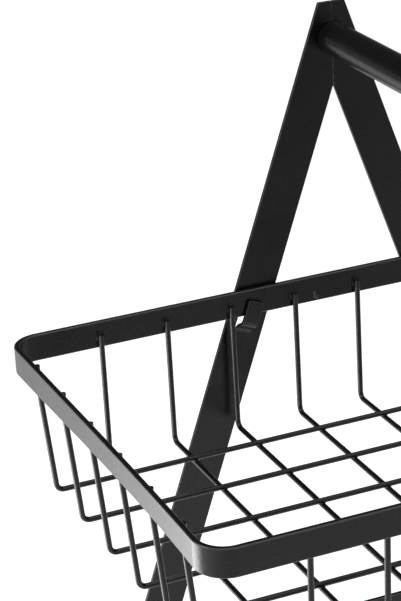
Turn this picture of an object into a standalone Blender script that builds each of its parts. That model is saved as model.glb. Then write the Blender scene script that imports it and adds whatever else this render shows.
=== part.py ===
"""Two-tier kitchen rack: two wire baskets hung by their flat-bar rims on the lanced hooks of two
A-shaped frames, which a handle joins at the top and two foot rails join at the bottom.

Units are metres, +Z is up. The long side of the baskets lies along X and the short side along Y.
The origin is on the table top, under the middle of the baskets.
"""
from math import cos, pi, radians, sin, sqrt, tan

import bmesh
import bpy
from mathutils import Matrix, Vector

# Clearances
touch_gap = 0.0003            # left between pieces that touch, are welded or are screwed together
hook_wire_gap = 0.0003        # left beside the hook tab that a wire has been slid up to

# Basket rim, a flat bar standing on edge
rim_length = 0.412
rim_width = 0.265
rim_height = 0.015
rim_thickness = 0.003
rim_corner_radius = 0.016     # to the rim's outer face
rim_edge_round = 0.0003
rim_edge_angle = radians(60)  # edges sharper than this are rounded
rim_corner_steps = 7

# Basket wires
wire_diameter = 0.003
basket_height = 0.0805        # rim's top edge to the underside of the floor wires
cross_wire_count = 9          # these run front to back and lie lowest
cross_wire_margin = 0.049     # rim's inner end face to the first cross wire
cross_wire_taper = 0.0011     # how far a wire leans in between the rim and the floor
cross_wire_drop = 0.007       # rim's top edge to the wire's cut end
long_wire_count = 6           # these run end to end, on top of the cross wires
long_wire_margin = 0.0326
long_wire_taper = 0.0053
long_wire_drop = 0.0021
wire_bend_radius = 0.0043     # to the wire's centre line
wire_bend_steps = 4

# Legs, flat bars that lean together
leg_width = 0.023
leg_thickness = 0.002
lean_angle = radians(19.74)
lower_basket_rise = 0.0234    # table top to the underside of the lower basket

# Hooks, tabs cut free on three sides and pressed out of the legs
hook_width = 0.0092
hook_slit = 0.0007            # width of the cut round the tab
hook_back_gap = 0.001         # leg's inner face to the rim's outer face
hook_root_radius = 0.0055     # to the middle of the sheet, as the next one
hook_bend_radius = 0.00425
hook_bend_angle = radians(60)
hook_tab_length = 0.0116      # straight part above the bend
hook_seat_drop = 0.0014       # rim's underside to the highest end of the bend
hook_bend_steps = 5
hook_bays_apart = 2           # spaces between cross wires from a lower hook in to the upper one
upper_hook_shift = 0.00055    # upper hook's bend off the middle of its space, toward the frame's middle

# Handle across the top, a tube between the two frames
handle_radius = 0.009
handle_wall = 0.0015
handle_below_apex = 0.0075    # point where the legs' middle lines meet, down to the handle's axis
leg_top_above_handle = 0.020
handle_end_chamfer = 0.0004
plug_length = 0.014
handle_screw_radius = 0.0025
handle_screw_head_radius = 0.005
handle_screw_head_height = 0.003
handle_screw_length = 0.014

# Foot rails, flat bars with both ends turned up against the legs
rail_width = 0.020
rail_thickness = 0.002
rail_bend_radius = 0.004      # to the middle of the sheet
rail_tab_height = 0.022       # rail's underside to the top of its turned-up end
rail_bend_steps = 5
rail_screw_rise = 0.011       # rail's underside to the screw's axis
rail_screw_radius = 0.002
rail_screw_head_radius = 0.004
rail_screw_head_height = 0.0024
rail_screw_overhang = 0.0006  # end of the thread beyond the nut
nut_across_flats = 0.007
nut_thickness = 0.0032

# Rubber feet, pushed through holes in the foot rails
foot_radius = 0.008
foot_height = 0.004
foot_neck_radius = 0.0026
foot_bulb_radius = 0.0036
foot_bulb_height = 0.0026
foot_inset = 0.026            # leg's inner face to the foot's axis
foot_edge_round = 0.0008      # pad's upper edge
foot_sole_round = 0.0006      # pad's lower edge
foot_bulb_top_radius = 0.0016
foot_bulb_shoulder = 0.0008   # rail's upper face to the bulb's widest part

# Screw heads, sockets and turned pieces
head_rim_share = 0.25         # straight rim of a head over the head's height
head_dome_steps = 5
socket_radius_share = 0.5     # hexagon's corner radius over the head's radius
socket_depth_share = 0.6      # socket's depth over the head's height
thread_point_share = 0.75     # thread's radius at its chamfered end over its full radius
thread_chamfer_share = 0.25   # that chamfer's length over the thread's radius
round_steps = 20

# Modelling limits
cutter_length_factor = 4      # a cutter's length over the sheet that it goes through
smooth_angle = radians(35)
merge_distance = 0.00001
trim_distance = 0.000001

# Sizes that follow from the ones above
wire_radius = wire_diameter / 2
rim_inner_length = rim_length - 2 * rim_thickness
rim_inner_width = rim_width - 2 * rim_thickness
cross_wire_pitch = (rim_inner_length - 2 * cross_wire_margin) / (cross_wire_count - 1)
long_wire_pitch = (rim_inner_width - 2 * long_wire_margin) / (long_wire_count - 1)
cross_floor_z = wire_radius - basket_height
long_floor_z = cross_floor_z + wire_diameter + touch_gap

leg_inner_y = rim_width / 2 + hook_back_gap
leg_middle_y = leg_inner_y + leg_thickness / 2
leg_outer_y = leg_inner_y + leg_thickness
hook_offset = hook_back_gap + rim_thickness + touch_gap + leg_thickness

lower_rim_top = lower_basket_rise + basket_height
hook_tilt_drop = hook_width / 2 * sin(lean_angle)
lower_bend_z = lower_rim_top - rim_height - hook_seat_drop - hook_tilt_drop
lower_hook_reach = (cross_wire_count - 2) / 2 * cross_wire_pitch
upper_hook_bay = lower_hook_reach - hook_bays_apart * cross_wire_pitch
upper_hook_reach = upper_hook_bay - upper_hook_shift
tier_pitch = (lower_hook_reach - upper_hook_reach) / tan(lean_angle)
upper_rim_top = lower_rim_top + tier_pitch
apex_z = lower_bend_z + lower_hook_reach / tan(lean_angle)
handle_z = apex_z - handle_below_apex
leg_top_z = handle_z + leg_top_above_handle

rail_bottom_z = foot_height + touch_gap
rail_middle_z = rail_bottom_z + rail_thickness / 2
rail_end_y = leg_inner_y - touch_gap - rail_thickness / 2
rail_screw_z = rail_bottom_z + rail_screw_rise


def basket_slide():
    """How far the baskets stand off the frame's middle: slid along until a wire meets a hook."""
    upper_tab_top = hook_tab_length * sin(lean_angle)
    half_tab = hook_width / 2 * cos(lean_angle)
    play = wire_radius + hook_wire_gap
    inner = upper_hook_reach - upper_tab_top - half_tab - play
    outer = upper_hook_reach + half_tab + play
    inner_wire = upper_hook_bay - cross_wire_pitch / 2
    outer_wire = upper_hook_bay + cross_wire_pitch / 2
    return min(inner - inner_wire, outer_wire - outer)


frame_x = -basket_slide()


def leg_reach(z):
    """Distance from the frame's middle to a leg's middle line at height z."""
    return (apex_z - z) * tan(lean_angle)


def clear_scene():
    for thing in list(bpy.data.objects):
        bpy.data.objects.remove(thing, do_unlink=True)


def make_collection(name):
    group = bpy.data.collections.new(name)
    bpy.context.scene.collection.children.link(group)
    return group


def make_material(name, colour, roughness, metallic):
    finish = bpy.data.materials.new(name)
    finish.use_nodes = True
    shader = finish.node_tree.nodes["Principled BSDF"]
    shader.inputs["Base Color"].default_value = (*colour, 1)
    shader.inputs["Roughness"].default_value = roughness
    shader.inputs["Metallic"].default_value = metallic
    finish.diffuse_color = (*colour, 1)
    return finish


def add_object(name, data, finish=None, parent=None, location=(0, 0, 0)):
    thing = bpy.data.objects.new(name, data)
    parts.objects.link(thing)
    thing.location = location
    thing.parent = parent
    if finish and not data.materials:
        data.materials.append(finish)
    return thing


def mesh_from(bm, name, smooth=False):
    mesh = bpy.data.meshes.new(name)
    bm.to_mesh(mesh)
    bm.free()
    if smooth:
        mesh.shade_smooth()
        mesh.set_sharp_from_angle(angle=smooth_angle)
    return mesh


def add_solidify(thing, thickness):
    wall = thing.modifiers.new("thickness", "SOLIDIFY")
    wall.thickness = thickness
    wall.offset = 0
    wall.use_even_offset = True


def cut_away(thing, cutter):
    cut = thing.modifiers.new("cut " + cutter.name, "BOOLEAN")
    cut.operation = "DIFFERENCE"
    cut.solver = "EXACT"
    cut.object = cutter


def add_cutter(name, radius, length, location, axis="Y", sides=round_steps):
    """A cylinder or hexagon along the given axis, used only to cut holes."""
    bm = bmesh.new()
    bmesh.ops.create_cone(
        bm, cap_ends=True, segments=sides, radius1=radius, radius2=radius, depth=length
    )
    if axis == "Y":
        bmesh.ops.rotate(bm, verts=bm.verts, matrix=Matrix.Rotation(pi / 2, 3, "X"))
    cutter = bpy.data.objects.new(name, mesh_from(bm, name))
    cutters.objects.link(cutter)
    cutter.location = location
    cutter.hide_render = True
    cutter.display_type = "WIRE"
    return cutter


def turned(name, profile, finish, location, rotation=(0, 0, 0), closed=False):
    """A profile of (radius, height) points turned about the object's own Z axis."""
    bm = bmesh.new()
    points = [bm.verts.new((radius, 0, height)) for radius, height in profile]
    for start, end in zip(points, points[1:]):
        bm.edges.new((start, end))
    if closed:
        bm.edges.new((points[-1], points[0]))
    thing = add_object(name, mesh_from(bm, name), finish, location=location)
    thing.rotation_euler = rotation
    turn = thing.modifiers.new("turn", "SCREW")
    turn.steps = turn.render_steps = round_steps
    turn.use_merge_vertices = True
    turn.merge_threshold = merge_distance
    turn.use_smooth_shade = True
    return thing


def arc(centre, radius, start, end, steps):
    """Points on an arc, both ends included, as (across, up) pairs."""
    angles = [start + (end - start) * i / steps for i in range(steps + 1)]
    return [(centre[0] + radius * cos(a), centre[1] + radius * sin(a)) for a in angles]


def basket_rim(name, finish, parent):
    """The flat bar bent into a rounded rectangle: its middle surface, then its thickness."""
    radius = rim_corner_radius - rim_thickness / 2
    half_x = (rim_length - rim_thickness) / 2 - radius
    half_y = (rim_width - rim_thickness) / 2 - radius
    outline = []
    for turn, (sx, sy) in enumerate([(1, 1), (-1, 1), (-1, -1), (1, -1)]):
        start = turn * pi / 2
        corner = (sx * half_x, sy * half_y)
        outline += arc(corner, radius, start, start + pi / 2, rim_corner_steps)
    bm = bmesh.new()
    ring = [bm.verts.new((x, y, -rim_height)) for x, y in outline]
    edges = [bm.edges.new((ring[i - 1], ring[i])) for i in range(len(ring))]
    extruded = bmesh.ops.extrude_edge_only(bm, edges=edges)["geom"]
    top = [item for item in extruded if isinstance(item, bmesh.types.BMVert)]
    bmesh.ops.translate(bm, verts=top, vec=(0, 0, rim_height))
    bmesh.ops.recalc_face_normals(bm, faces=bm.faces)
    rim = add_object(name, mesh_from(bm, name, smooth=True), finish, parent)
    add_solidify(rim, rim_thickness)
    edge = rim.modifiers.new("edge", "BEVEL")
    edge.width = rim_edge_round
    edge.segments = 1
    edge.limit_method = "ANGLE"
    edge.angle_limit = rim_edge_angle
    return rim


def wire_path(half_span, drop, taper, floor_z):
    """Half of a basket wire, from its cut end on the rim down to the floor, as (across, up)."""
    bend_x = half_span - taper
    centre = (bend_x - wire_bend_radius, floor_z + wire_bend_radius)
    return [
        (half_span, -drop),
        (half_span, -rim_height),
        *arc(centre, wire_bend_radius, 0, -pi / 2, wire_bend_steps),
    ]


def basket_wire(name, half_path, along_x, offset, finish, parent):
    """A wire bent into a U across the basket, from its half path and that path's mirror."""
    path = half_path + [(-across, up) for across, up in reversed(half_path)]
    curve = bpy.data.curves.new(name, "CURVE")
    curve.dimensions = "3D"
    curve.bevel_depth = wire_radius
    curve.bevel_resolution = 2
    curve.use_fill_caps = True
    spline = curve.splines.new("POLY")
    spline.points.add(len(path) - 1)
    for point, (across, up) in zip(spline.points, path):
        place = (across, offset, up) if along_x else (offset, across, up)
        point.co = (*place, 1)
    spline.use_smooth = True
    return add_object(name, curve, finish, parent)


def basket(tier, rim_top):
    """One basket, built under an empty that stands on its lifting axis at the rim's top edge."""
    lift = bpy.data.objects.new(tier + "_basket_lift", None)
    parts.objects.link(lift)
    lift.location = (0, 0, rim_top)
    basket_rim(tier + "_rim", powder_coat, lift)
    cross_span = rim_inner_width / 2 - touch_gap - wire_radius
    cross_path = wire_path(cross_span, cross_wire_drop, cross_wire_taper, cross_floor_z)
    for i in range(cross_wire_count):
        x = (i - (cross_wire_count - 1) / 2) * cross_wire_pitch
        basket_wire(f"{tier}_cross_wire_{i + 1}", cross_path, False, x, powder_coat, lift)
    long_span = rim_inner_length / 2 - touch_gap - wire_radius
    long_path = wire_path(long_span, long_wire_drop, long_wire_taper, long_floor_z)
    for i in range(long_wire_count):
        y = (i - (long_wire_count - 1) / 2) * long_wire_pitch
        basket_wire(f"{tier}_long_wire_{i + 1}", long_path, True, y, powder_coat, lift)


def hook_curve():
    """Steps of the hook's sheet from its root to its tip, as (inward, up the leg) from the root."""
    turn = 1 - cos(hook_bend_angle)
    slope = (hook_offset - (hook_root_radius + hook_bend_radius) * turn) / sin(hook_bend_angle)
    root = arc((hook_root_radius, 0), hook_root_radius, pi, pi - hook_bend_angle, hook_bend_steps)
    foot_x, foot_y = root[-1]
    bend_x = foot_x + slope * sin(hook_bend_angle)
    bend_y = foot_y + slope * cos(hook_bend_angle)
    centre = (hook_offset - hook_bend_radius, bend_y + hook_bend_radius * sin(hook_bend_angle))
    bend = arc(centre, hook_bend_radius, -hook_bend_angle, 0, hook_bend_steps)
    bend[0] = (bend_x, bend_y)
    tip = (hook_offset, centre[1] + hook_tab_length)
    return root + bend + [tip], centre[1]


def path_length(points):
    return sum(sqrt((b[0] - a[0]) ** 2 + (b[1] - a[1]) ** 2) for a, b in zip(points, points[1:]))


def edge_middle(edge):
    return (edge.verts[0].co + edge.verts[1].co) / 2


def extrude_chain(bm, edges, shift):
    """Extrude edges by a vector and return the new ones in the same order."""
    ends = [tuple(vert.co + Vector(shift) for vert in edge.verts) for edge in edges]
    made = bmesh.ops.extrude_edge_only(bm, edges=edges)["geom"]
    verts = [item for item in made if isinstance(item, bmesh.types.BMVert)]
    bmesh.ops.translate(bm, verts=verts, vec=shift)
    fresh = [item for item in made if isinstance(item, bmesh.types.BMEdge)]
    ordered = []
    for start, end in ends:
        middle = (start + end) / 2
        fresh.sort(key=lambda edge: (edge_middle(edge) - middle).length)
        ordered.append(fresh[0])
    return ordered


def leg_sheet():
    """The leg's middle surface, flat but for its hooks: X across, Y inward, Z up the leg from the
    lower hook's bend."""
    curve, bend_height = hook_curve()
    window_length = path_length(curve) + hook_slit
    half_tab = hook_width / 2
    half_window = half_tab + hook_slit
    columns = [-leg_width / 2, -half_window, -half_tab, half_tab, half_window, leg_width / 2]
    bottom = -(lower_bend_z + leg_width) / cos(lean_angle)
    top = (leg_top_z - lower_bend_z + leg_width) / cos(lean_angle)
    bm = bmesh.new()
    row = [bm.verts.new((x, 0, bottom)) for x in columns]
    chain = [bm.edges.new(pair) for pair in zip(row, row[1:])]
    height = bottom
    for bend in (0, tier_pitch / cos(lean_angle)):
        root = bend - bend_height
        chain = extrude_chain(bm, chain, (0, 0, root - height))
        tab = [chain[2]]
        for (x0, z0), (x1, z1) in zip([(0, 0)] + curve[1:], curve[1:]):
            tab = extrude_chain(bm, tab, (0, x1 - x0, z1 - z0))
        left = extrude_chain(bm, [chain[0]], (0, 0, window_length))[0]
        right = extrude_chain(bm, [chain[-1]], (0, 0, window_length))[0]
        height = root + window_length
        inner_left = max(left.verts, key=lambda v: v.co.x)
        inner_right = min(right.verts, key=lambda v: v.co.x)
        middle = [bm.verts.new((x, 0, height)) for x in (-half_tab, half_tab)]
        spots = [inner_left, *middle, inner_right]
        chain = [left, *[bm.edges.new(pair) for pair in zip(spots, spots[1:])], right]
    extrude_chain(bm, chain, (0, 0, top - height))
    return bm


def trim(bm, place, outward):
    """Cut the sheet along a plane and drop what lies on the plane's outward side."""
    everything = list(bm.verts) + list(bm.edges) + list(bm.faces)
    bmesh.ops.bisect_plane(
        bm, geom=everything, plane_co=place, plane_no=outward, clear_outer=True, dist=trim_distance
    )


def leg(name, side, face):
    """A leg: side is -1 on the left and 1 on the right, face is 1 at the rear and -1 in front."""
    bm = leg_sheet()
    for vert in bm.verts:
        across, inward, up = vert.co
        x = lower_hook_reach - up * sin(lean_angle) - across * cos(lean_angle)
        z = lower_bend_z + up * cos(lean_angle) - across * sin(lean_angle)
        vert.co = (frame_x + side * x, face * (leg_middle_y - inward), z)
    trim(bm, (frame_x + side * touch_gap / 2, 0, 0), (-side, 0, 0))
    trim(bm, (0, 0, leg_top_z), (0, 0, 1))
    trim(bm, (0, 0, rail_bottom_z), (0, 0, -1))
    bmesh.ops.recalc_face_normals(bm, faces=bm.faces)
    bar = add_object(name, mesh_from(bm, name), powder_coat)
    add_solidify(bar, leg_thickness)
    foot_x = frame_x + side * leg_reach(rail_screw_z)
    for hole, radius, x, z in (
        ("_handle_hole", handle_screw_radius, frame_x, handle_z),
        ("_rail_hole", rail_screw_radius, foot_x, rail_screw_z),
    ):
        length = cutter_length_factor * leg_thickness
        place = (x, face * leg_middle_y, z)
        cut_away(bar, add_cutter(name + hole, radius + touch_gap, length, place))


def button_screw(name, radius, length, head_radius, head_height, finish, place, face):
    """A domed socket screw whose head lies against y = place[1], its thread pointing inward."""
    rim = head_height * head_rim_share
    chamfer = radius * thread_chamfer_share
    profile = [(0, head_height)]
    for i in range(head_dome_steps - 1, -1, -1):
        angle = pi / 2 * i / head_dome_steps
        profile.append((head_radius * cos(angle), rim + (head_height - rim) * sin(angle)))
    profile += [(head_radius, 0), (radius, 0), (radius, chamfer - length)]
    profile += [(radius * thread_point_share, -length), (0, -length)]
    screw = turned(name, profile, finish, place, (-face * pi / 2, 0, 0))
    depth = head_height * socket_depth_share
    middle = (place[0], place[1] + face * (head_height - depth / 2 + touch_gap), place[2])
    socket = add_cutter(
        name + "_socket", head_radius * socket_radius_share, depth + 2 * touch_gap, middle, sides=6
    )
    cut_away(screw, socket)


def handle():
    """The tube, a threaded plug in each end and the screws that hold it between the frames."""
    half = leg_inner_y - touch_gap
    inner = handle_radius - handle_wall
    edge = handle_end_chamfer
    tube = [
        (handle_radius - edge, half), (handle_radius, half - edge), (handle_radius, edge - half),
        (handle_radius - edge, -half), (inner, -half), (inner, half),
    ]
    lying = (pi / 2, 0, 0)
    turned("handle_tube", tube, powder_coat, (frame_x, 0, handle_z), lying, closed=True)
    bore = handle_screw_radius + touch_gap
    outer = inner - touch_gap
    plug = [
        (outer, plug_length / 2), (outer, -plug_length / 2),
        (bore, -plug_length / 2), (bore, plug_length / 2),
    ]
    for end, face in (("front", -1), ("rear", 1)):
        plug_y = face * (half - plug_length / 2)
        turned(f"handle_plug_{end}", plug, steel, (frame_x, plug_y, handle_z), lying, closed=True)
        button_screw(
            f"handle_screw_{end}", handle_screw_radius, handle_screw_length,
            handle_screw_head_radius, handle_screw_head_height, screw_black,
            (frame_x, face * (leg_outer_y + touch_gap), handle_z), face,
        )


def foot_rail(side_name, side):
    """A flat bar along the table with its ends turned up, its screws and nuts and its feet."""
    x = frame_x + side * leg_reach(rail_screw_z)
    centre = (rail_end_y - rail_bend_radius, rail_middle_z + rail_bend_radius)
    half = [(rail_end_y, rail_bottom_z + rail_tab_height)]
    half += arc(centre, rail_bend_radius, 0, -pi / 2, rail_bend_steps)
    path = half + [(-y, z) for y, z in reversed(half)]
    bm = bmesh.new()
    start = [bm.verts.new((x + s * rail_width / 2, *path[0])) for s in (-1, 1)]
    chain = [bm.edges.new(start)]
    for (y0, z0), (y1, z1) in zip(path, path[1:]):
        chain = extrude_chain(bm, chain, (0, y1 - y0, z1 - z0))
    bmesh.ops.recalc_face_normals(bm, faces=bm.faces)
    name = "foot_rail_" + side_name
    rail = add_object(name, mesh_from(bm, name), powder_coat)
    add_solidify(rail, rail_thickness)
    for end, face in (("front", -1), ("rear", 1)):
        where = f"{end}_{side_name}"
        screw_hole = add_cutter(
            "tab_hole_" + where, rail_screw_radius + touch_gap, cutter_length_factor * rail_thickness,
            (x, face * rail_end_y, rail_screw_z),
        )
        cut_away(rail, screw_hole)
        foot_y = face * (leg_inner_y - foot_inset)
        foot_hole = add_cutter(
            "foot_hole_" + where, foot_neck_radius + touch_gap, cutter_length_factor * rail_thickness,
            (x, foot_y, rail_middle_z), axis="Z",
        )
        cut_away(rail, foot_hole)
        rail_fasteners(where, x, face)
        rubber_foot(where, x, foot_y)


def rail_fasteners(where, x, face):
    nut_outer = rail_end_y - rail_thickness / 2 - touch_gap
    nut_inner = nut_outer - nut_thickness
    head_y = leg_outer_y + touch_gap
    button_screw(
        "rail_screw_" + where, rail_screw_radius, head_y - nut_inner + rail_screw_overhang,
        rail_screw_head_radius, rail_screw_head_height, screw_black,
        (x, face * head_y, rail_screw_z), face,
    )
    bm = bmesh.new()
    corner = nut_across_flats / 2 / cos(pi / 6)
    bmesh.ops.create_cone(
        bm, cap_ends=True, segments=6, radius1=corner, radius2=corner, depth=nut_thickness
    )
    nut = add_object("rail_nut_" + where, mesh_from(bm, "rail_nut"), steel)
    nut.location = (x, face * (nut_outer + nut_inner) / 2, rail_screw_z)
    nut.rotation_euler = (pi / 2, 0, 0)
    bore = add_cutter(
        "nut_bore_" + where, rail_screw_radius + touch_gap, 2 * nut_thickness, nut.location
    )
    cut_away(nut, bore)


def rubber_foot(where, x, y):
    """A pad under the rail, with a neck through the rail's hole and a bulb that holds it there."""
    neck_top = rail_bottom_z + rail_thickness + touch_gap
    bulb_top = neck_top + foot_bulb_height
    profile = [
        (0, bulb_top), (foot_bulb_top_radius, bulb_top),
        (foot_bulb_radius, neck_top + foot_bulb_shoulder), (foot_bulb_radius, neck_top),
        (foot_neck_radius, neck_top), (foot_neck_radius, foot_height),
        (foot_radius - foot_edge_round, foot_height), (foot_radius, foot_height - foot_edge_round),
        (foot_radius, foot_sole_round), (foot_radius - foot_sole_round, 0), (0, 0),
    ]
    turned("rubber_foot_" + where, profile, rubber, (x, y, 0))


clear_scene()
parts = make_collection("kitchen_rack")
cutters = make_collection("cutters")
powder_coat = make_material("black_powder_coat", (0.022, 0.022, 0.024), 0.5, 0.0)
screw_black = make_material("black_screw", (0.03, 0.03, 0.032), 0.38, 0.7)
steel = make_material("plain_steel", (0.5, 0.5, 0.51), 0.35, 1.0)
rubber = make_material("black_rubber", (0.025, 0.025, 0.025), 0.8, 0.0)

for face_name, face in (("front", -1), ("rear", 1)):
    for side_name, side in (("left", -1), ("right", 1)):
        leg(f"leg_{face_name}_{side_name}", side, face)
handle()
foot_rail("left", -1)
foot_rail("right", 1)
basket("upper", upper_rim_top)
basket("lower", lower_rim_top)
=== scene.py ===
from math import cos, pi, radians, sin, sqrt, tan

import bmesh
import bpy
from mathutils import Matrix, Vector


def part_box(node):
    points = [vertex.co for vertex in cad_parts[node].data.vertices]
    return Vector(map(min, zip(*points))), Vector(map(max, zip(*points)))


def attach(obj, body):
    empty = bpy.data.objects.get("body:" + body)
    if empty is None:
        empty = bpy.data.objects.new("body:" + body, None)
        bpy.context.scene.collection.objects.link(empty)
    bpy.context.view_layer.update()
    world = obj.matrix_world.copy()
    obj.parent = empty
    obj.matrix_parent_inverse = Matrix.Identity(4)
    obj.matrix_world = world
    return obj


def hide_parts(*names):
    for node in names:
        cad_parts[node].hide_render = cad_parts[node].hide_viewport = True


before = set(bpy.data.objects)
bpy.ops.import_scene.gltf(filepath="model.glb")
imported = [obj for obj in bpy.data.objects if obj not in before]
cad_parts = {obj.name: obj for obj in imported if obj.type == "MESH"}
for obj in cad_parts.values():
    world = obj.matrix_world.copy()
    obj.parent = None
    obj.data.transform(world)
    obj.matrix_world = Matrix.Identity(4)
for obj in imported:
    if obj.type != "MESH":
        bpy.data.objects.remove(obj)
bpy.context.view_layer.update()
print("frame loaded:", len(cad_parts), "nodes")

# metres throughout, +Z up, long side of the baskets along X

shared = {
    "sheet": 0.002,          # bar of the legs and foot rails
    "rimBar": 0.003,         # bar of the basket rims
    "touchGap": 0.0003,
    "lean": radians(19.74),  # legs off upright
    "legWidth": 0.023,
    "edgeRound": 0.0006,
    "edgeSteps": 4,
    "crease": radians(50),   # sharper bends than this are edges
    "cornerSteps": 5,
    "narrow": 0.00026,       # widest face that counts as part of a rounded edge, which gets the painted highlight
    "levelLimit": 0.9,       # upward part of a normal from which a face counts as level, and gets no painted highlight
    "sharpAngle": radians(40),
    "mergeGap": 1e-6,        # points closer than this are one
}

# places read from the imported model
rimLow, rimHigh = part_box("upper_rim")
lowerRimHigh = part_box("lower_rim")[1]
tubeLow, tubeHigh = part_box("handle_tube")
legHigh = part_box("leg_rear_left")[1]
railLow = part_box("foot_rail_left")[0]
rimTops = {"upper": rimHigh.z, "lower": lowerRimHigh.z}
rimHeight = rimHigh.z - rimLow.z
frameX = (tubeLow.x + tubeHigh.x) / 2
handleZ = (tubeLow.z + tubeHigh.z) / 2
legOuterY = legHigh.y
legMiddleY = legOuterY - shared["sheet"] / 2
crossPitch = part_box("upper_cross_wire_2")[0].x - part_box("upper_cross_wire_1")[0].x
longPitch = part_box("upper_long_wire_2")[0].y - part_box("upper_long_wire_1")[0].y


# helpers for node trees

def addNode(tree, kind, values=None, **settings):
    node = tree.nodes.new(kind)
    for key, value in settings.items():
        setattr(node, key, value)
    for key, value in (values or {}).items():
        if isinstance(value, bpy.types.NodeSocket):
            tree.links.new(value, node.inputs[key])
        else:
            node.inputs[key].default_value = value
    return node


# adds a geometry node and returns its first output
def addShape(tree, kind, values=None, **settings):
    return addNode(tree, "GeometryNode" + kind, values, **settings).outputs[0]


def calc(tree, operation, first, second=0.0):
    return addNode(tree, "ShaderNodeMath", {0: first, 1: second}, operation=operation).outputs[0]


def joinXyz(tree, x=0.0, y=0.0, z=0.0):
    return addNode(tree, "ShaderNodeCombineXYZ", {"X": x, "Y": y, "Z": z}).outputs[0]


def pickByIndex(tree, index, choices):
    node = addNode(tree, "GeometryNodeIndexSwitch", {"Index": index}, data_type="FLOAT")
    while len(node.index_switch_items) < len(choices):
        node.index_switch_items.new()
    for place, choice in enumerate(choices):
        tree.links.new(choice, node.inputs[place + 1])
    return node.outputs[0]


def addSocket(tree, name, kind, way="INPUT"):
    return tree.interface.new_socket(name, in_out=way, socket_type="NodeSocket" + kind)


def newShapeTree(name, sizes, counts):
    tree = bpy.data.node_groups.new(name, "GeometryNodeTree")
    addSocket(tree, "Geometry", "Geometry")
    for size in sizes:
        addSocket(tree, size, "Float")
    for count in counts:
        addSocket(tree, count, "Int")
    addSocket(tree, "Material", "Material")
    addSocket(tree, "Geometry", "Geometry", "OUTPUT")
    return tree, addNode(tree, "NodeGroupInput").outputs


def endShapeTree(tree, given, geometry):
    solid = addShape(tree, "RealizeInstances", {"Geometry": geometry})
    painted = addShape(tree, "SetMaterial", {"Geometry": solid, "Material": given["Material"]})
    addNode(tree, "NodeGroupOutput", {"Geometry": painted})


# helpers for meshes and objects

def solidMesh(name, bm, finish=None):
    mesh = bpy.data.meshes.new(name)
    bm.to_mesh(mesh)
    bm.free()
    if finish:
        mesh.materials.append(materials[finish])
    return mesh


def newObject(name, mesh):
    thing = bpy.data.objects.new(name, mesh)
    bpy.context.scene.collection.objects.link(thing)
    return thing


# turns whatever modifiers an object has into a plain mesh, and leaves the object at the origin
def bakeDown(thing):
    bpy.context.view_layer.update()
    evaluated = thing.evaluated_get(bpy.context.evaluated_depsgraph_get())
    mesh = bpy.data.meshes.new_from_object(evaluated)
    mesh.transform(thing.matrix_world)
    thing.modifiers.clear()
    thing.data = mesh
    thing.matrix_world = Matrix.Identity(4)
    mesh.name = thing.name
    return thing


# bendRadius becomes Bend Radius, the name of a node tree's socket
def socketValues(settings):
    names = {key: "".join(" " + c if c.isupper() else c for c in key).title() for key in settings}
    return {names[key]: value for key, value in settings.items()}


def growPiece(name, tree, values, material, base=None):
    thing = newObject(name, base or bpy.data.meshes.new(name))
    shape = thing.modifiers.new("shape", "NODES")
    shape.node_group = tree
    for item in tree.interface.items_tree:
        if item.in_out == "INPUT" and item.name in values:
            shape[item.identifier] = values[item.name]
        if item.in_out == "INPUT" and item.name == "Material":
            shape[item.identifier] = material
    return smoothFaces(bakeDown(thing))


def smoothFaces(thing, angle=shared["sharpAngle"]):
    thing.data.shade_smooth()
    thing.data.set_sharp_from_angle(angle=angle)
    return thing


# marks the narrow faces of rounded edges, where the finishes paint a highlight in a lighter colour, except
# where they lie nearly level
def markPaintedHighlights(thing):
    mesh = thing.data
    mask = mesh.attributes.new("rounding", "FLOAT", "FACE")
    for face in mesh.polygons:
        corners = [mesh.vertices[i].co for i in face.vertices]
        longest = max((a - b).length for a, b in zip(corners, corners[1:] + corners[:1]))
        level = abs(face.normal.z) > shared["levelLimit"]
        mask.data[face.index].value = float(face.area < longest * shared["narrow"] and not level)


def hand(piece, body, slotName, *nodes):
    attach(piece, body)
    if nodes:
        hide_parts(*nodes)


# materials

def newEffect(name, inputs, outputs):
    tree = bpy.data.node_groups.new(name, "ShaderNodeTree")
    addSocket(tree, "Vector", "Vector")
    for key, value in inputs.items():
        addSocket(tree, key, "Float").default_value = value
    for key in outputs:
        addSocket(tree, key, "Float", "OUTPUT")
    return tree, addNode(tree, "NodeGroupInput").outputs


def noise(tree, vector, scale, detail=2.0):
    values = {"Vector": vector, "Scale": scale, "Detail": detail}
    return addNode(tree, "ShaderNodeTexNoise", values).outputs["Fac"]


def remap(tree, value, fromLow, fromHigh, toLow, toHigh):
    values = {0: value, 1: fromLow, 2: fromHigh, 3: toLow, 4: toHigh}
    return addNode(tree, "ShaderNodeMapRange", values).outputs[0]


def mixColour(tree, factor, first, second):
    node = addNode(tree, "ShaderNodeMix", data_type="RGBA")
    colours = [socket for socket in node.inputs if socket.type == "RGBA"]
    for socket, value in zip(colours, (first, second)):
        if isinstance(value, bpy.types.NodeSocket):
            tree.links.new(value, socket)
        else:
            socket.default_value = value
    tree.links.new(factor, node.inputs["Factor"])
    return next(socket for socket in node.outputs if socket.type == "RGBA")


effectSettings = {
    "grainDetail": 3.0,
    "patchDetail": 3.0,
    "patchSpan": (0.35, 0.65),  # noise from no patch to a full one
    "speckDetail": 1.0,
    "speckFade": 0.03,          # noise above the limit that makes a full speck
}


# ripple of a sprayed and baked coat, with the fine grain that lies on it
def makeGrainEffect():
    sizes = {"Ripple Scale": 260.0, "Grain Scale": 1500.0, "Grain Share": 0.3}
    tree, given = newEffect("coatGrain", sizes, ["Height"])
    ripple = noise(tree, given["Vector"], given["Ripple Scale"])
    grain = noise(tree, given["Vector"], given["Grain Scale"], effectSettings["grainDetail"])
    fine = calc(tree, "MULTIPLY", grain, given["Grain Share"])
    addNode(tree, "NodeGroupOutput", {"Height": calc(tree, "ADD", ripple, fine)})
    return tree


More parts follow.
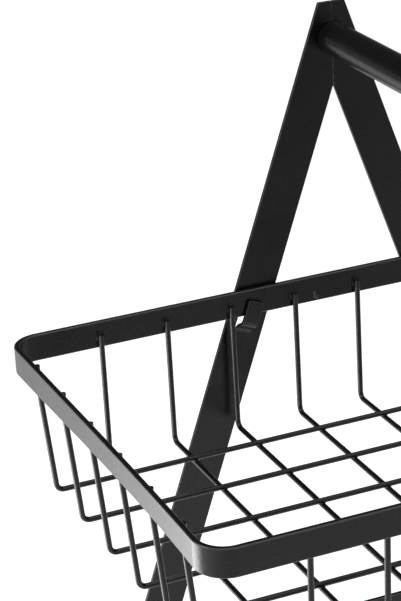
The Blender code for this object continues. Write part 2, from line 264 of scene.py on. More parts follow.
# broad uneven patches, and a few specks of dust, each as a mask from 0 to 1
def makeSurfaceEffect():
    sizes = {"Patch Scale": 22.0, "Speck Scale": 420.0, "Speck Limit": 0.735}
    tree, given = newEffect("surfaceWear", sizes, ["Patches", "Specks"])
    broad = noise(tree, given["Vector"], given["Patch Scale"], effectSettings["patchDetail"])
    patches = remap(tree, broad, *effectSettings["patchSpan"], 0.0, 1.0)
    fine = noise(tree, given["Vector"], given["Speck Scale"], effectSettings["speckDetail"])
    full = calc(tree, "ADD", given["Speck Limit"], effectSettings["speckFade"])
    specks = remap(tree, fine, given["Speck Limit"], full, 0.0, 1.0)
    addNode(tree, "NodeGroupOutput", {"Patches": patches, "Specks": specks})
    return tree


effects = {"grain": makeGrainEffect(), "wear": makeSurfaceEffect()}

finishes = {
    "powderCoat": {
        "dark": (0.004, 0.004, 0.0042), "light": (0.0055, 0.0055, 0.0057), "dust": (0.02, 0.02, 0.02),
        # edge: painted highlight, a lighter colour on the faces marked as rounded edges
        "edge": (0.055, 0.055, 0.056),
        "rough": (0.25, 0.33), "metal": 0.0, "specular": 0.42,
        "ripple": 480.0, "grain": 1300.0, "bump": 0.8, "depth": 0.00012, "speckLimit": 0.77,
    },
    "blackScrew": {
        "dark": (0.012, 0.012, 0.013), "light": (0.022, 0.022, 0.023), "dust": (0.06, 0.06, 0.06),
        "rough": (0.26, 0.38), "metal": 0.6, "specular": 0.5,
        "ripple": 700.0, "grain": 3200.0, "bump": 0.12, "depth": 0.00006, "speckLimit": 0.74,
    },
    "zincSteel": {
        "dark": (0.42, 0.43, 0.44), "light": (0.56, 0.56, 0.56), "dust": (0.35, 0.33, 0.30),
        "rough": (0.28, 0.42), "metal": 1.0, "specular": 0.5,
        "ripple": 500.0, "grain": 2600.0, "bump": 0.14, "depth": 0.00006, "speckLimit": 0.72,
    },
    "blackRubber": {
        "dark": (0.014, 0.014, 0.014), "light": (0.024, 0.024, 0.024), "dust": (0.09, 0.085, 0.08),
        "rough": (0.68, 0.84), "metal": 0.0, "specular": 0.4,
        "ripple": 900.0, "grain": 2400.0, "bump": 0.3, "depth": 0.00010, "speckLimit": 0.69,
    },
}


def makeFinish(name, look):
    material = bpy.data.materials.new(name)
    material.use_nodes = True
    tree = material.node_tree
    shader = tree.nodes["Principled BSDF"]
    place = addNode(tree, "ShaderNodeTexCoord").outputs["Object"]
    wear = addNode(tree, "ShaderNodeGroup", node_tree=effects["wear"])
    grain = addNode(tree, "ShaderNodeGroup", node_tree=effects["grain"])
    tree.links.new(place, wear.inputs["Vector"])
    tree.links.new(place, grain.inputs["Vector"])
    wear.inputs["Speck Limit"].default_value = look["speckLimit"]
    grain.inputs["Ripple Scale"].default_value = look["ripple"]
    grain.inputs["Grain Scale"].default_value = look["grain"]
    base = mixColour(tree, wear.outputs["Patches"], (*look["dark"], 1), (*look["light"], 1))
    colour = mixColour(tree, wear.outputs["Specks"], base, (*look["dust"], 1))
    # paints a highlight on the rounded edges, where the rounding attribute is set
    if "edge" in look:
        rounding = addNode(tree, "ShaderNodeAttribute", attribute_name="rounding").outputs["Fac"]
        colour = mixColour(tree, rounding, colour, (*look["edge"], 1))
    rough = remap(tree, wear.outputs["Patches"], 0.0, 1.0, *look["rough"])
    bump = addNode(
        tree, "ShaderNodeBump",
        {"Height": grain.outputs["Height"], "Strength": look["bump"], "Distance": look["depth"]},
    )
    tree.links.new(colour, shader.inputs["Base Color"])
    tree.links.new(rough, shader.inputs["Roughness"])
    tree.links.new(bump.outputs[0], shader.inputs["Normal"])
    shader.inputs["Metallic"].default_value = look["metal"]
    shader.inputs["Specular IOR Level"].default_value = look["specular"]
    material.diffuse_color = (*look["light"], 1)
    return material


materials = {name: makeFinish(name, look) for name, look in finishes.items()}
print("materials made:", ", ".join(materials))


# basket rims: a flat bar swept round a rounded rectangle

rimSettings = {
    "cornerRadius": 0.016,
    "cornerSteps": 20,
    "edgeRadius": 0.0008,
    "edgeSteps": 6,
    "endRise": 0.0012,       # how far welding has drawn the end bars up, about half way along
    "endLean": 0.0014,       # and their lower edge in
    "endSkew": 0.7,          # moves the widest place towards the front
    "cuts": 16,              # lengths that each end bar is cut into to bend
    "markPlace": 0.0125,     # weld mark on the rear bar: from the next cross wire, along the bar
    "markLevel": 0.0043,     # and above the bar's lower edge
    "markSize": (0.0011, 0.0015, 0.0022),
    "markLumps": ((0.0, 1.0), (1.5, 0.7)),  # the lump and its tail: shift in lump widths, and scale
    "markSteps": 3,
}


def makeRimTree():
    sizes = ["Length", "Width", "Height", "Thickness", "Corner Radius", "Edge Radius", "Top"]
    tree, given = newShapeTree("flatBarRim", sizes, ["Corner Steps", "Edge Steps"])
    route = addShape(
        tree, "CurvePrimitiveQuadrilateral",
        {
            "Width": calc(tree, "SUBTRACT", given["Length"], given["Thickness"]),
            "Height": calc(tree, "SUBTRACT", given["Width"], given["Thickness"]),
        },
    )
    halfBar = calc(tree, "DIVIDE", given["Thickness"], 2.0)
    middleRadius = calc(tree, "SUBTRACT", given["Corner Radius"], halfBar)
    rounded = addShape(
        tree, "FilletCurve",
        {"Curve": route, "Count": given["Corner Steps"], "Radius": middleRadius},
        mode="POLY",
    )
    upright = addShape(tree, "SetCurveNormal", {"Curve": rounded}, mode="Z_UP")
    bar = addShape(
        tree, "CurvePrimitiveQuadrilateral",
        {"Width": given["Thickness"], "Height": given["Height"]},
    )
    barRounded = addShape(
        tree, "FilletCurve",
        {"Curve": bar, "Count": given["Edge Steps"], "Radius": given["Edge Radius"]},
        mode="POLY",
    )
    swept = addShape(tree, "CurveToMesh", {"Curve": upright, "Profile Curve": barRounded})
    middle = calc(tree, "SUBTRACT", given["Top"], calc(tree, "DIVIDE", given["Height"], 2.0))
    placed = addShape(tree, "Transform", {"Geometry": swept, "Translation": joinXyz(tree, z=middle)})
    endShapeTree(tree, given, placed)
    return tree


def buildRims():
    tree = makeRimTree()
    values = {
        **socketValues(rimSettings), "Length": rimHigh.x - rimLow.x, "Width": rimHigh.y - rimLow.y,
        "Height": rimHeight, "Thickness": shared["rimBar"],
    }
    for tier, top in rimTops.items():
        rim = growPiece(tier + "RimBar", tree, {**values, "Top": top}, materials["powderCoat"])
        warpEnds(rim, top)
        pointOutwards(rim)
        weighNormals(rim)
        markPaintedHighlights(rim)
        hand(rim, tier + "_basket", "powder_coat", tier + "_rim")
        mark = weldMark(tier, top)
        markPaintedHighlights(mark)
        hand(mark, tier + "_basket", "powder_coat")


# small lump and its tail, left by a weld on the inner face of the rear bar
def weldMark(tier, top):
    x = rimSettings["markPlace"] - crossPitch
    y = rimHigh.y - shared["rimBar"]
    z = top - rimHeight + rimSettings["markLevel"]
    size = Vector(rimSettings["markSize"])
    bm = bmesh.new()
    for shift, scale in rimSettings["markLumps"]:
        place = Matrix.Translation((x + shift * size.x, y, z - shift * size.x))
        grow = Matrix.Diagonal((*(size * scale), 1))
        bmesh.ops.create_icosphere(
            bm, subdivisions=rimSettings["markSteps"], radius=1, matrix=place @ grow,
        )
    return smoothFaces(newObject(tier + "RimWeldMark", solidMesh("weldMark", bm, "powderCoat")))


# cuts the end bars crosswise and draws them slightly out of true, as the welded wires do
def warpEnds(rim, top):
    half = rimHigh.y
    reach = half - rimSettings["cornerRadius"]
    bm = bmesh.new()
    bm.from_mesh(rim.data)
    for i in range(rimSettings["cuts"] + 1):
        y = reach * (2 * i / rimSettings["cuts"] - 1)
        everything = [*bm.verts, *bm.edges, *bm.faces]
        bmesh.ops.bisect_plane(
            bm, geom=everything, plane_co=(0, y, 0), plane_no=(0, 1, 0), dist=shared["mergeGap"],
        )
    for vert in bm.verts:
        share = vert.co.y / half
        warp = (1 - share ** 2) * (1 - rimSettings["endSkew"] * share)
        depth = (top - vert.co.z) / rimHeight
        side = 1 if vert.co.x > 0 else -1
        vert.co.x -= side * rimSettings["endLean"] * warp * depth
        vert.co.z += rimSettings["endRise"] * warp
    bm.to_mesh(rim.data)
    bm.free()


# makes every face point out of its closed shell
def pointOutwards(thing):
    bm = bmesh.new()
    bm.from_mesh(thing.data)
    bmesh.ops.recalc_face_normals(bm, faces=bm.faces)
    bm.to_mesh(thing.data)
    bm.free()


# keeps the flats flat in shading, so that only the rounded edges catch the light
def weighNormals(thing):
    weigh = thing.modifiers.new("weigh", "WEIGHTED_NORMAL")
    weigh.keep_sharp = True
    weigh.weight = 100
    bakeDown(thing)


buildRims()
print("rims built")


# basket wires: U-shaped wires in a row, with a weld at each end

wireSettings = {
    "sides": 14,
    "bendRadius": 0.0043,
    "bendSteps": 9,
    "endRound": 0.0007,        # chamfer of the coated cut end
    "endShare": 0.58,          # radius at the very end over the wire's own
    "crossFloorInset": 0.0011,  # how far a cross wire leans in on its way down
    "longFloorInset": 0.0053,
    "weldSink": 0.0006,        # how far the welds let the long wires down into the cross wires
    "beadRadius": 0.00105,     # weld between wire and rim
    "beadSides": 10,
    "beadPoints": 9,
    "beadFullness": 0.45,      # a lower value keeps the bead thick nearer to its ends
    "beadEndShare": 0.1,       # radius at its very ends over its full radius
    "padWidth": 0.0024,        # metal pressed out round the top of that weld, half of each size
    "padHeight": 0.0027,
    "padThickness": 0.0005,
    "padDrop": 0.0018,         # cut end to the pad's middle
    "padSteps": 3,
    "crossingWidth": 0.00155,  # weld where two wires cross
    "crossingHeight": 0.0012,
    "crossingSteps": 2,
}


def makeWireTree():
    sizes = [
        "Pitch", "Half Span", "Floor Half Span", "Cut End", "Bar Foot", "Floor", "Wire Radius",
        "Bend Radius", "End Round", "End Share", "Bead Radius", "Bead Reach", "Pad Width",
        "Pad Height", "Pad Thickness", "Pad Drop", "Turn",
    ]
    tree, given = newShapeTree("basketWires", sizes, ["Count", "Bend Steps", "Sides"])
    last = 7  # a wire's line has eight points, four to each side
    index = addShape(tree, "InputIndex")
    fromEnd = calc(tree, "MINIMUM", index, calc(tree, "SUBTRACT", last, index))
    farHalf = calc(tree, "GREATER_THAN", index, last / 2)
    side = calc(tree, "SUBTRACT", calc(tree, "MULTIPLY", farHalf, 2.0), 1.0)
    chamferEnd = calc(tree, "SUBTRACT", given["Cut End"], given["End Round"])
    across = pickByIndex(tree, fromEnd, [given["Half Span"]] * 3 + [given["Floor Half Span"]])
    levels = [given["Cut End"], chamferEnd, given["Bar Foot"], given["Floor"]]
    height = pickByIndex(tree, fromEnd, levels)
    line = addShape(tree, "MeshLine", {"Count": last + 1})
    shaped = addShape(
        tree, "SetPosition",
        {
            "Geometry": line,
            "Position": joinXyz(tree, y=calc(tree, "MULTIPLY", side, across), z=height),
        },
    )
    route = addShape(tree, "MeshToCurve", {"Mesh": shaped})
    bent = addShape(
        tree, "FilletCurve",
        {
            "Curve": route, "Count": given["Bend Steps"], "Radius": given["Bend Radius"],
            "Limit Radius": True,
        },
        mode="POLY",
    )
    atEnd = addShape(tree, "CurveEndpointSelection")
    share = addShape(
        tree, "Switch",
        {"Switch": atEnd, "False": 1.0, "True": given["End Share"]},
        input_type="FLOAT",
    )
    tapered = addShape(tree, "SetCurveRadius", {"Curve": bent, "Radius": share})
    section = addShape(
        tree, "CurvePrimitiveCircle",
        {"Resolution": given["Sides"], "Radius": given["Wire Radius"]},
    )
    wire = addShape(tree, "CurveToMesh", {"Curve": tapered, "Profile Curve": section, "Fill Caps": True})
    row = addShape(
        tree, "MeshLine",
        {
            "Count": given["Count"],
            "Start Location": joinXyz(tree, x=rowStart(tree, given)),
            "Offset": joinXyz(tree, x=given["Pitch"]),
        },
    )
    beads = addBeads(tree, given)
    both = addNode(tree, "GeometryNodeJoinGeometry")
    for part in (wire, *beads):
        tree.links.new(part, both.inputs[0])
    wires = addShape(tree, "InstanceOnPoints", {"Points": row, "Instance": both.outputs[0]})
    turned = addShape(tree, "Transform", {"Geometry": wires, "Rotation": joinXyz(tree, z=given["Turn"])})
    endShapeTree(tree, given, turned)
    return tree


def rowStart(tree, given):
    gaps = calc(tree, "SUBTRACT", given["Count"], 1.0)
    return calc(tree, "MULTIPLY", calc(tree, "MULTIPLY", gaps, given["Pitch"]), -0.5)


# a long bead between the wire and the bar, and a pad round its top, at each end of the wire
def addBeads(tree, given):
    beads = []
    top = calc(tree, "SUBTRACT", given["Cut End"], given["Wire Radius"])
    foot = calc(tree, "ADD", given["Bar Foot"], given["Wire Radius"])
    ball = addShape(tree, "MeshIcoSphere", {"Radius": 1.0, "Subdivisions": wireSettings["padSteps"]})
    padSize = joinXyz(tree, given["Pad Width"], given["Pad Thickness"], given["Pad Height"])
    padLevel = calc(tree, "SUBTRACT", given["Cut End"], given["Pad Drop"])
    for side in (-1.0, 1.0):
        y = calc(tree, "MULTIPLY", given["Bead Reach"], side)
        line = addShape(
            tree, "CurvePrimitiveLine",
            {"Start": joinXyz(tree, y=y, z=top), "End": joinXyz(tree, y=y, z=foot)},
        )
        points = addShape(tree, "ResampleCurve", {"Curve": line, "Count": wireSettings["beadPoints"]})
        along = addNode(tree, "GeometryNodeSplineParameter").outputs["Factor"]
        hump = calc(tree, "SINE", calc(tree, "MULTIPLY", along, pi))
        swell = calc(tree, "POWER", hump, wireSettings["beadFullness"])
        endShare = wireSettings["beadEndShare"]
        thick = calc(tree, "ADD", calc(tree, "MULTIPLY", swell, 1 - endShare), endShare)
        grown = addShape(tree, "SetCurveRadius", {"Curve": points, "Radius": thick})
        section = addShape(
            tree, "CurvePrimitiveCircle",
            {"Resolution": wireSettings["beadSides"], "Radius": given["Bead Radius"]},
        )
        bead = addShape(tree, "CurveToMesh", {"Curve": grown, "Profile Curve": section, "Fill Caps": True})
        pad = addShape(
            tree, "Transform",
            {
                "Geometry": ball, "Translation": joinXyz(tree, y=y, z=padLevel),
                "Scale": padSize,
            },
        )
        beads += [bead, pad]
    return beads


def makeCrossingTree():
    sizes = ["Pitch X", "Pitch Y", "Crossing Width", "Crossing Height", "Level"]
    tree, given = newShapeTree("crossingWelds", sizes, ["Count X", "Count Y"])
    reach = []
    for axis in ("X", "Y"):
        gaps = calc(tree, "SUBTRACT", given["Count " + axis], 1.0)
        reach.append(calc(tree, "MULTIPLY", gaps, given["Pitch " + axis]))
    grid = addShape(
        tree, "MeshGrid",
        {
            "Size X": reach[0], "Size Y": reach[1],
            "Vertices X": given["Count X"], "Vertices Y": given["Count Y"],
        },
    )
    ball = addShape(tree, "MeshIcoSphere", {"Radius": 1.0, "Subdivisions": wireSettings["crossingSteps"]})
    size = joinXyz(tree, given["Crossing Width"], given["Crossing Width"], given["Crossing Height"])
    welds = addShape(tree, "InstanceOnPoints", {"Points": grid, "Instance": ball, "Scale": size})
    placed = addShape(
        tree, "Transform",
        {"Geometry": welds, "Translation": joinXyz(tree, z=given["Level"])},
    )
    endShapeTree(tree, given, placed)
    return tree


def wireNames(tier, kind):
    return sorted(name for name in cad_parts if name.startswith(f"{tier}_{kind}_wire_"))


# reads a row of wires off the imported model
def measureWires(tier, kind, inset):
    names = wireNames(tier, kind)
    low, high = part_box(names[0])
    along = 1 if kind == "cross" else 0
    radius = (high[1 - along] - low[1 - along]) / 2
    span = (high[along] - low[along]) / 2 - radius
    sink = 0.0 if kind == "cross" else wireSettings["weldSink"]
    floor = low.z + radius - sink
    foot = rimTops[tier] - rimHeight
    slope = inset / (foot - floor - wireSettings["bendRadius"])
    bar = (rimHigh[along] - rimLow[along]) / 2 - shared["rimBar"]
    return {
        "Pitch": crossPitch if kind == "cross" else longPitch,
        "Half Span": span, "Floor Half Span": span - inset - slope * wireSettings["bendRadius"],
        "Cut End": high.z, "Bar Foot": foot, "Floor": floor, "Wire Radius": radius,
        "Bead Reach": bar, "Count": len(names), "Turn": 0.0 if kind == "cross" else pi / 2,
    }


def buildWires():
    tree = makeWireTree()
    crossingTree = makeCrossingTree()
    shape = socketValues(wireSettings)
    for tier in rimTops:
        rows = {}
        for kind in ("cross", "long"):
            rows[kind] = measureWires(tier, kind, wireSettings[kind + "FloorInset"])
            values = {**shape, **rows[kind]}
            wires = growPiece(f"{tier}{kind.title()}Wires", tree, values, materials["powderCoat"])
            hand(wires, tier + "_basket", "powder_coat", *wireNames(tier, kind))
        between = (rows["cross"]["Floor"] + rows["long"]["Floor"]) / 2
        values = {
            **shape, "Pitch X": crossPitch, "Pitch Y": longPitch, "Level": between,
            "Count X": rows["cross"]["Count"], "Count Y": rows["long"]["Count"],
        }
        welds = growPiece(tier + "CrossingWelds", crossingTree, values, materials["powderCoat"])
        hand(welds, tier + "_basket", "powder_coat")


buildWires()
print("wires built")


# legs: flat bars, each with two hooks cut free on three sides and pressed inwards

hookSettings = {
    "width": 0.0092,
    "slit": 0.0007,
    "backGap": 0.001,        # leg to the rim's outer face
    "rootRadius": 0.0055,
    "bendRadius": 0.00425,
    "bendAngle": radians(60),
    "tabLength": 0.0116,
    "seatDrop": 0.0014,      # rim's underside to the highest end of the bend
    "bendSteps": 12,
    "tipRound": 0.0011,
}

holeSettings = {"handle": 0.0028, "rail": 0.0023, "sides": 40, "cutLength": 4 * shared["sheet"]}

crossCount = len(wireNames("upper", "cross"))
hookDrop = hookSettings["width"] / 2 * sin(shared["lean"])
lowerBendZ = rimTops["lower"] - rimHeight - hookSettings["seatDrop"] - hookDrop
lowerReach = (crossCount - 2) / 2 * crossPitch
tierPitch = rimTops["upper"] - rimTops["lower"]
legFootZ = railLow.z
apexZ = lowerBendZ + lowerReach / tan(shared["lean"])
railScrewLow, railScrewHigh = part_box("rail_screw_rear_left")
railScrewZ = (railScrewLow.z + railScrewHigh.z) / 2


def legReach(z):
    return (apexZ - z) * tan(shared["lean"])


def arc(centre, radius, start, end, steps):
    angles = [start + (end - start) * i / steps for i in range(steps + 1)]
    return [(centre[0] + radius * cos(a), centre[1] + radius * sin(a)) for a in angles]


# the hook's sheet from its root to its tip, as (inwards, up the leg)
def hookCurve():
    hook = hookSettings
    depth = hook["backGap"] + shared["rimBar"] + shared["touchGap"] + shared["sheet"]
    turn = 1 - cos(hook["bendAngle"])
    slope = (depth - (hook["rootRadius"] + hook["bendRadius"]) * turn) / sin(hook["bendAngle"])
    rootCentre = (hook["rootRadius"], 0)
    root = arc(rootCentre, hook["rootRadius"], pi, pi - hook["bendAngle"], hook["bendSteps"])
    bendX = root[-1][0] + slope * sin(hook["bendAngle"])
    bendY = root[-1][1] + slope * cos(hook["bendAngle"])
    centre = (depth - hook["bendRadius"], bendY + hook["bendRadius"] * sin(hook["bendAngle"]))
    bend = arc(centre, hook["bendRadius"], -hook["bendAngle"], 0, hook["bendSteps"])
    bend[0] = (bendX, bendY)
    return root + bend + [(depth, centre[1] + hook["tabLength"])], centre[1]


def curveLength(points):
    return sum(sqrt((b[0] - a[0]) ** 2 + (b[1] - a[1]) ** 2) for a, b in zip(points, points[1:]))


def edgeMiddle(edge):
    return (edge.verts[0].co + edge.verts[1].co) / 2


# extrudes a row of edges and returns the new ones in the same order
def pullEdges(bm, edges, shift):
    goals = [edgeMiddle(edge) + Vector(shift) for edge in edges]
    made = bmesh.ops.extrude_edge_only(bm, edges=edges)["geom"]
    moving = [item for item in made if isinstance(item, bmesh.types.BMVert)]
    bmesh.ops.translate(bm, verts=moving, vec=shift)
    fresh = [item for item in made if isinstance(item, bmesh.types.BMEdge)]
    ordered = []
    for goal in goals:
        fresh.sort(key=lambda edge: (edgeMiddle(edge) - goal).length)
        ordered.append(fresh[0])
    return ordered


# middle surface of a leg laid flat: X across, Y inwards, Z up the leg from the lower hook's bend
def legSheet():
    hook = hookSettings
    curve, bendHeight = hookCurve()
    window = curveLength(curve) + hook["slit"]
    halfTab = hook["width"] / 2
    halfWindow = halfTab + hook["slit"]
    halfLeg = shared["legWidth"] / 2
    columns = [-halfLeg, -halfWindow, -halfTab, halfTab, halfWindow, halfLeg]
    bottom = -(lowerBendZ + shared["legWidth"]) / cos(shared["lean"])
    top = (legHigh.z - lowerBendZ + shared["legWidth"]) / cos(shared["lean"])
    bm = bmesh.new()
    row = [bm.verts.new((x, 0, bottom)) for x in columns]
    chain = [bm.edges.new(pair) for pair in zip(row, row[1:])]
    height = bottom
    tips = []
    for bend in (0, tierPitch / cos(shared["lean"])):
        root = bend - bendHeight
        chain = pullEdges(bm, chain, (0, 0, root - height))
        tab = [chain[2]]
        for (x0, z0), (x1, z1) in zip([(0, 0)] + curve[1:], curve[1:]):
            tab = pullEdges(bm, tab, (0, x1 - x0, z1 - z0))
        tips += list(tab[0].verts)
        left = pullEdges(bm, [chain[0]], (0, 0, window))[0]
        right = pullEdges(bm, [chain[-1]], (0, 0, window))[0]
        height = root + window
        innerLeft = max(left.verts, key=lambda v: v.co.x)
        innerRight = min(right.verts, key=lambda v: v.co.x)
        middle = [bm.verts.new((x, 0, height)) for x in (-halfTab, halfTab)]
        spots = [innerLeft, *middle, innerRight]
        chain = [left, *[bm.edges.new(pair) for pair in zip(spots, spots[1:])], right]
    pullEdges(bm, chain, (0, 0, top - height))
    roundCorners(bm, tips, hook["tipRound"])
    return bm


# rounds corners of a sheet within the sheet
def roundCorners(bm, corners, radius):
    bmesh.ops.bevel(
        bm, geom=corners, offset=radius, offset_type="OFFSET", segments=shared["cornerSteps"],
        profile=0.5, affect="VERTICES",
    )


def trimSheet(bm, place, outward):
    everything = [*bm.verts, *bm.edges, *bm.faces]
    bmesh.ops.bisect_plane(
        bm, geom=everything, plane_co=place, plane_no=outward, clear_outer=True, dist=shared["mergeGap"],
    )


def makePrism(radius, length, sides):
    bm = bmesh.new()
    bmesh.ops.create_cone(bm, cap_ends=True, segments=sides, radius1=radius, radius2=radius, depth=length)
    return bm


def makeCutter(name, radius, length, place, axis="Y", sides=holeSettings["sides"]):
    bm = makePrism(radius, length, sides)
    if axis == "Y":
        bmesh.ops.rotate(bm, verts=bm.verts, matrix=Matrix.Rotation(pi / 2, 3, "X"))
    bmesh.ops.translate(bm, verts=bm.verts, vec=place)
    cutter = newObject(name, solidMesh(name, bm))
    cutter.hide_render = True
    return cutter


def combine(thing, other, operation):
    cut = thing.modifiers.new("cut", "BOOLEAN")
    cut.operation = operation
    cut.solver = "EXACT"
    cut.object = other


def cutHoles(thing, cutters):
    for cutter in cutters:
        combine(thing, cutter, "DIFFERENCE")


def thicken(thing):
    wall = thing.modifiers.new("wall", "SOLIDIFY")
    wall.thickness = shared["sheet"]
    wall.offset = 0
    wall.use_even_offset = True


def roundEdges(thing):
    edge = thing.modifiers.new("edge", "BEVEL")
    edge.width = shared["edgeRound"]
    edge.segments = shared["edgeSteps"]
    edge.limit_method = "ANGLE"
    edge.angle_limit = shared["crease"]
    edge.harden_normals = True
    edge.use_clamp_overlap = True


def finishPiece(thing, cutters):
    bakeDown(thing)
    for cutter in cutters:
        bpy.data.objects.remove(cutter, do_unlink=True)


# gives a bent sheet its thickness, holes and rounded edges
def finishSheet(sheet, cutters):
    thicken(sheet)
    cutHoles(sheet, cutters)
    roundEdges(sheet)
    finishPiece(sheet, cutters)
    markPaintedHighlights(sheet)


def buildLeg(end, face, sideName, side):
    bm = legSheet()
    for vert in bm.verts:
        across, inward, up = vert.co
        x = lowerReach - up * sin(shared["lean"]) - across * cos(shared["lean"])
        z = lowerBendZ + up * cos(shared["lean"]) - across * sin(shared["lean"])
        vert.co = (frameX + side * x, face * (legMiddleY - inward), z)
    trimSheet(bm, (frameX + side * shared["touchGap"] / 2, 0, 0), (-side, 0, 0))
    trimSheet(bm, (0, 0, legHigh.z), (0, 0, 1))
    trimSheet(bm, (0, 0, legFootZ), (0, 0, -1))
    bmesh.ops.recalc_face_normals(bm, faces=bm.faces)
    mesh = solidMesh("leg", bm, "powderCoat")
    mesh.shade_smooth()
    leg = newObject(f"{end}{sideName.title()}LegBar", mesh)
    y = face * legMiddleY
    places = {
        "handle": (frameX, y, handleZ),
        "rail": (frameX + side * legReach(railScrewZ), y, railScrewZ),
    }
    cutters = [
        makeCutter(hole + "Hole", holeSettings[hole], holeSettings["cutLength"], place)
        for hole, place in places.items()
    ]
    finishSheet(leg, cutters)
    hand(leg, "frame", "powder_coat", f"leg_{end}_{sideName}")


for end, face in (("front", -1), ("rear", 1)):
    for sideName, side in (("left", -1), ("right", 1)):
        buildLeg(end, face, sideName, side)
print("legs built")


# handle: the tube between the two frames

handleSettings = {"wall": 0.0015, "endRound": 0.0005, "sides": 64, "roundSteps": 4}


# turns a profile of (radius, along) points about an axis, and joins its ends if it is closed
def turnProfile(profile, sides, axis=(0, 0, 1), closed=False):
    bm = bmesh.new()
    points = [bm.verts.new(Vector((radius, 0, 0)) + along * Vector(axis)) for radius, along in profile]
    pairs = [(points[-1], points[0])] if closed else []
    edges = [bm.edges.new(pair) for pair in (*pairs, *zip(points, points[1:]))]
    bmesh.ops.spin(
        bm, geom=points + edges, cent=(0, 0, 0), axis=axis, angle=2 * pi, steps=sides, use_merge=closed,
    )
    bmesh.ops.remove_doubles(bm, verts=bm.verts, dist=shared["mergeGap"])
    bmesh.ops.recalc_face_normals(bm, faces=bm.faces)
    return bm


def buildHandle():
    radius = (tubeHigh.z - tubeLow.z) / 2
    half = (tubeHigh.y - tubeLow.y) / 2
    inner = radius - handleSettings["wall"]
    rounding = handleSettings["endRound"]
    steps = handleSettings["roundSteps"]
    profile = arc((radius - rounding, half - rounding), rounding, pi / 2, 0, steps)
    profile += arc((radius - rounding, rounding - half), rounding, 0, -pi / 2, steps)
    profile += [(inner, -half), (inner, half)]
    bm = turnProfile(profile, handleSettings["sides"], (0, 1, 0), closed=True)
    bmesh.ops.translate(bm, verts=bm.verts, vec=(frameX, 0, handleZ))
    tube = newObject("handleBar", solidMesh("handleBar", bm, "powderCoat"))
    smoothFaces(tube, shared["crease"])
    weighNormals(tube)
    hand(tube, "frame", "powder_coat", "handle_tube")


buildHandle()
print("handle built")


# foot rails: flat bars with both ends turned up against the legs

railSettings = {"bendRadius": 0.004, "bendSteps": 12, "footHole": 0.0029, "cornerRound": 0.002}


def buildRail(sideName):
    low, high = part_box("foot_rail_" + sideName)
    footLow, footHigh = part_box("rubber_foot_rear_" + sideName)
    half = shared["sheet"] / 2
    x = (low.x + high.x) / 2
    endY = high.y - half
    middleZ = low.z + half
    radius = railSettings["bendRadius"]
    centre = (endY - radius, middleZ + radius)
    side = [(endY, high.z), *arc(centre, radius, 0, -pi / 2, railSettings["bendSteps"])]
    path = side + [(-y, z) for y, z in reversed(side)]
    bm = bmesh.new()
    start = [bm.verts.new((edgeX, *path[0])) for edgeX in (low.x, high.x)]
    chain = [bm.edges.new(start)]
    for (y0, z0), (y1, z1) in zip(path, path[1:]):
        chain = pullEdges(bm, chain, (0, y1 - y0, z1 - z0))
    roundCorners(bm, start + list(chain[0].verts), railSettings["cornerRound"])
    bmesh.ops.recalc_face_normals(bm, faces=bm.faces)
    mesh = solidMesh("rail", bm, "powderCoat")
    mesh.shade_smooth()
    rail = newObject(sideName + "FootRailBar", mesh)
    length = holeSettings["cutLength"]
    footY = (footLow.y + footHigh.y) / 2
    cutters = []
    for face in (-1, 1):
        screwPlace = (x, face * endY, railScrewZ)
        footPlace = (x, face * footY, middleZ)
        cutters.append(makeCutter("screwHole", holeSettings["rail"], length, screwPlace))
        cutters.append(makeCutter("footHole", railSettings["footHole"], length, footPlace, "Z"))
    finishSheet(rail, cutters)
    hand(rail, "frame", "powder_coat", "foot_rail_" + sideName)


for sideName in ("left", "right"):
    buildRail(sideName)
print("foot rails built")


# screws, nuts and rubber feet: one made for each kind, set out at the corners by a node tree

fastenerSettings = {
    "sides": 36,
    "socketShare": 0.5,       # hexagon's corner radius over the head's radius
    "socketDepthShare": 0.6,
    "headRimShare": 0.25,
    "shankShare": 0.5,
    "hexSides": 6,
    "domeSteps": 9,
    "chamfer": 0.0005,
    "nutFlats": 0.007,
    "nutBore": 0.0021,
    "nutChamfer": 0.0005,
    "nutSpare": 0.0002,       # how far the cone that chamfers it stands out past its corners
}

footSettings = {
    "neckRadius": 0.0026,
    "bulbRadius": 0.0036,
    "bulbTip": 0.0016,        # radius of the flat on top
    "bulbRound": 0.0008,
    "padRound": 0.0008,
    "soleRound": 0.0006,
    "soleRing": (0.0024, 0.0028),  # in from the pad's side: the sole starts to rise, and is flat
    "soleDish": 0.0003,
    "bulbSteps": 3,
    "padSteps": 5,
    "soleSteps": 4,
}


def makeCornerTree():
    sizes = ["Spacing X", "Spacing Y", "Middle X", "Level"]
    tree, given = newShapeTree("setAtCorners", sizes, ["Count X"])
    grid = addShape(
        tree, "MeshGrid",
        {
            "Size X": given["Spacing X"], "Size Y": given["Spacing Y"],
            "Vertices X": given["Count X"], "Vertices Y": 2,
        },
    )
    place = addShape(tree, "InputPosition")
    y = addNode(tree, "ShaderNodeSeparateXYZ", {0: place}).outputs["Y"]
    turn = calc(tree, "MULTIPLY", calc(tree, "LESS_THAN", y, 0.0), pi)
    copies = addShape(
        tree, "InstanceOnPoints",
        {"Points": grid, "Instance": given["Geometry"], "Rotation": joinXyz(tree, z=turn)},
    )
    placed = addShape(
        tree, "Transform",
        {
            "Geometry": copies,
            "Translation": joinXyz(tree, given["Middle X"], 0.0, given["Level"]),
        },
    )
    endShapeTree(tree, given, placed)
    return tree


# turns a finished piece's mesh about X and removes its object
def takeMesh(thing, angle):
    mesh = thing.data
    mesh.transform(Matrix.Rotation(angle, 4, "X"))
    bpy.data.objects.remove(thing, do_unlink=True)
    return mesh


